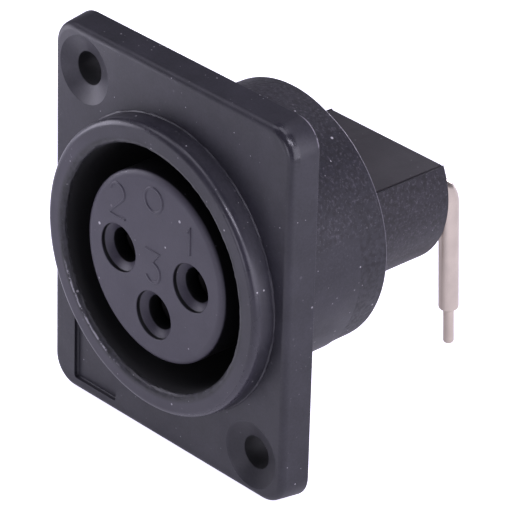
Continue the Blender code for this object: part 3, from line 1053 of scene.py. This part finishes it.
def aim_camera():
    """The photograph's view: turned 47 degrees to the object's right and 29 degrees up."""
    around, above, roll = (math.radians(a) for a in (VIEW_AROUND, VIEW_ABOVE, VIEW_ROLL))
    back = Vector(
        (
            math.sin(around) * math.cos(above),
            -math.cos(around) * math.cos(above),
            math.sin(above),
        )
    )
    right = Vector((math.cos(around), math.sin(around), 0.0))
    up = back.cross(right)
    across = right * math.cos(roll) + up * math.sin(roll)
    upward = up * math.cos(roll) - right * math.sin(roll)
    camera = bpy.data.objects.new("camera", bpy.data.cameras.new("camera"))
    bpy.context.scene.collection.objects.link(camera)
    turn = Matrix((across, upward, back)).transposed()
    camera.matrix_world = Matrix.Translation(CAMERA_PLACE) @ turn.to_4x4()
    camera.data.sensor_width = SENSOR_WIDTH
    camera.data.lens = FOCAL_PIXELS * SENSOR_WIDTH / PICTURE_PIXELS
    camera.data.clip_start = 0.01
    camera.data.clip_end = 20.0
    bpy.context.scene.camera = camera


STUDIO_TINT = (1.0, 0.97, 1.18)
LIGHT_TINT = (1.0, 0.965, 1.14)
BACKDROP_SEEN = 1.0
WORLD_LIGHT = 0.2

# Name, place, width, power and target of each soft light, in metres and watts
LIGHTS = (
    ("right", (0.120, 0.020, 0.006), 0.12, 0.102, (0.0, 0.010, 0.0)),
    ("upper_right", (0.091, 0.0, 0.084), 0.03, 0.034, (0.008, 0.0, 0.007)),
    ("back", (-0.035, 0.125, 0.024), 0.06, 0.071, (0.0, 0.010, 0.0)),
    ("top", (0.0, 0.008, 0.140), 0.08, 0.042, (0.0, 0.008, 0.0)),
    ("top_left", (-0.060, -0.030, 0.100), 0.06, 0.017, (0.0, 0.0, 0.0)),
    ("front", (0.012, -0.120, 0.0), 0.05, 0.0185, (0.0, 0.0, 0.004)),
    ("near_left", (-0.030, -0.012, 0.010), 0.02, 0.0044, (-0.013, 0.0, -0.004)),
    ("near_right", (0.030, -0.010, 0.037), 0.008, 0.0024, (0.013, 0.0015, 0.0155)),
    ("near_side", (0.050, 0.020, 0.020), 0.04, 0.0022, (0.012, 0.002, 0.005)),
)


def soft_light(name, place, size, power, target):
    light = bpy.data.objects.new(name, bpy.data.lights.new(name, "AREA"))
    bpy.context.scene.collection.objects.link(light)
    light.data.shape = "SQUARE"
    light.data.size = size
    light.data.energy = power
    light.data.color = LIGHT_TINT
    light.visible_camera = False
    light.location = place
    aim = Vector(target) - Vector(place)
    light.rotation_euler = aim.to_track_quat("-Z", "Y").to_euler()


def studio_level(tree, as_light):
    """The backdrop's brightness: one level to the camera, and another as light on the object."""
    seen = node(tree, "ShaderNodeLightPath").outputs["Is Camera Ray"]
    return ramp(tree, seen, 0.0, 1.0, as_light, BACKDROP_SEEN)


def make_floor():
    """The pale floor just under the flange, which gives back more light on the left."""
    below = -FLANGE_HALF_HEIGHT * MM - 0.00002
    bpy.ops.mesh.primitive_plane_add(size=6.0, location=(0.0, 0.0, below))
    floor = place_applied("floor")
    material, tree, shader, place = new_material("pale_floor")
    shader.inputs["Base Color"].default_value = (0.8, 0.8, 0.8, 1.0)
    shader.inputs["Roughness"].default_value = 0.9
    shader.inputs["Specular IOR Level"].default_value = 0.0
    shader.inputs["Emission Color"].default_value = (*STUDIO_TINT, 1.0)
    parts = node(tree, "ShaderNodeSeparateXYZ", {"Vector": place}).outputs
    to_the_right = maths(tree, "ADD", parts["X"], parts["Y"])
    as_light = ramp(tree, to_the_right, -0.06, 0.07, 0.46, 0.13)
    tree.links.new(studio_level(tree, as_light), shader.inputs["Emission Strength"])
    floor.data.materials.append(material)


def make_studio():
    scene = bpy.context.scene
    scene.view_settings.view_transform = "Standard"
    scene.view_settings.look = "None"
    scene.world = bpy.data.worlds.new("studio")
    scene.world.use_nodes = True
    tree = scene.world.node_tree
    backdrop = tree.nodes["Background"]
    backdrop.inputs["Color"].default_value = (*STUDIO_TINT, 1.0)
    tree.links.new(studio_level(tree, WORLD_LIGHT), backdrop.inputs["Strength"])
    make_floor()
    for light in LIGHTS:
        soft_light(*light)


make_studio()
aim_camera()

shell_plastic = shell_moulding()
insert_plastic = insert_moulding()
lid_plastic = lid_moulding()
contact_metal = plated_contact()

dress(make_shell(), shell_plastic, "shell_plastic", "front_shell")
dress(make_insert(), insert_plastic, "insert_plastic", "contact_insert")
dress(make_lid(), lid_plastic, "lid_plastic", "rear_lid")
for contact in CONTACTS:
    dress(make_contact(contact), contact_metal, "contact_metal", "contact_%d" % contact.number)
dress(make_numerals(), insert_plastic, "insert_plastic")
